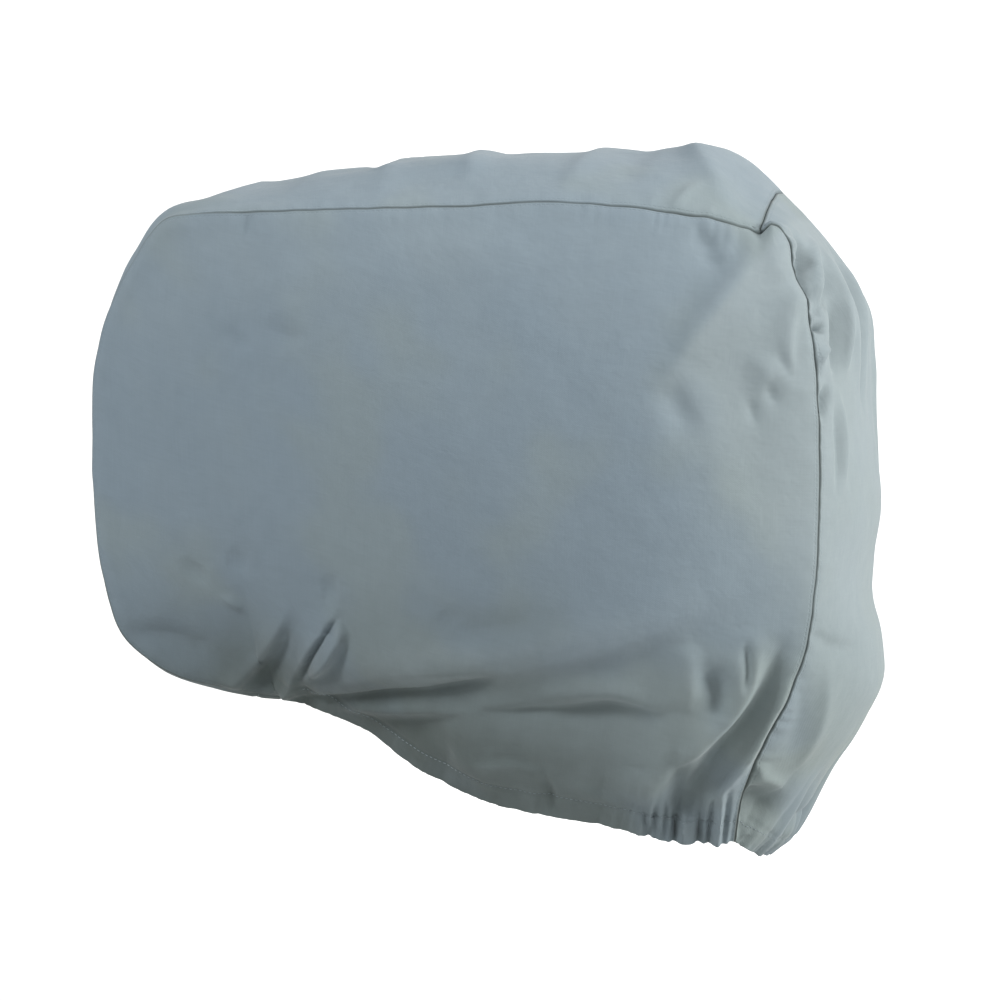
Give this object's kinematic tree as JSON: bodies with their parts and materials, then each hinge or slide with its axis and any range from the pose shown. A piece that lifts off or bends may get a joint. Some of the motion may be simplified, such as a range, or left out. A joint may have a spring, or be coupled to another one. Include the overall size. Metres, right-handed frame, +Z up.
{
  "type": "outboard motor cover",
  "caption": "Fitted cloth cover for a large outboard's cowling: side panels, front-and-top strip and aft strip over a gathered elastic hem; hollow, open below.",
  "frame": {"origin": "inner face of the cloth under the crown of the top, midway between the sides, where the top of the cowling carries the cover", "axes": "+X towards the motor's aft end and the long way of the cover, +Y to starboard and the narrow way, +Z up"},
  "size_m": [0.7504, 0.5029, 0.6731],
  "materials": {
    "cover_cloth": "matte woven polyester with a faint sheen"
  },
  "bodies": {
    "root": {"side_panel_port": "cover_cloth", "side_panel_starboard": "cover_cloth", "front_and_top_strip": "cover_cloth", "aft_strip": "cover_cloth"}
  },
  "joints": []
}
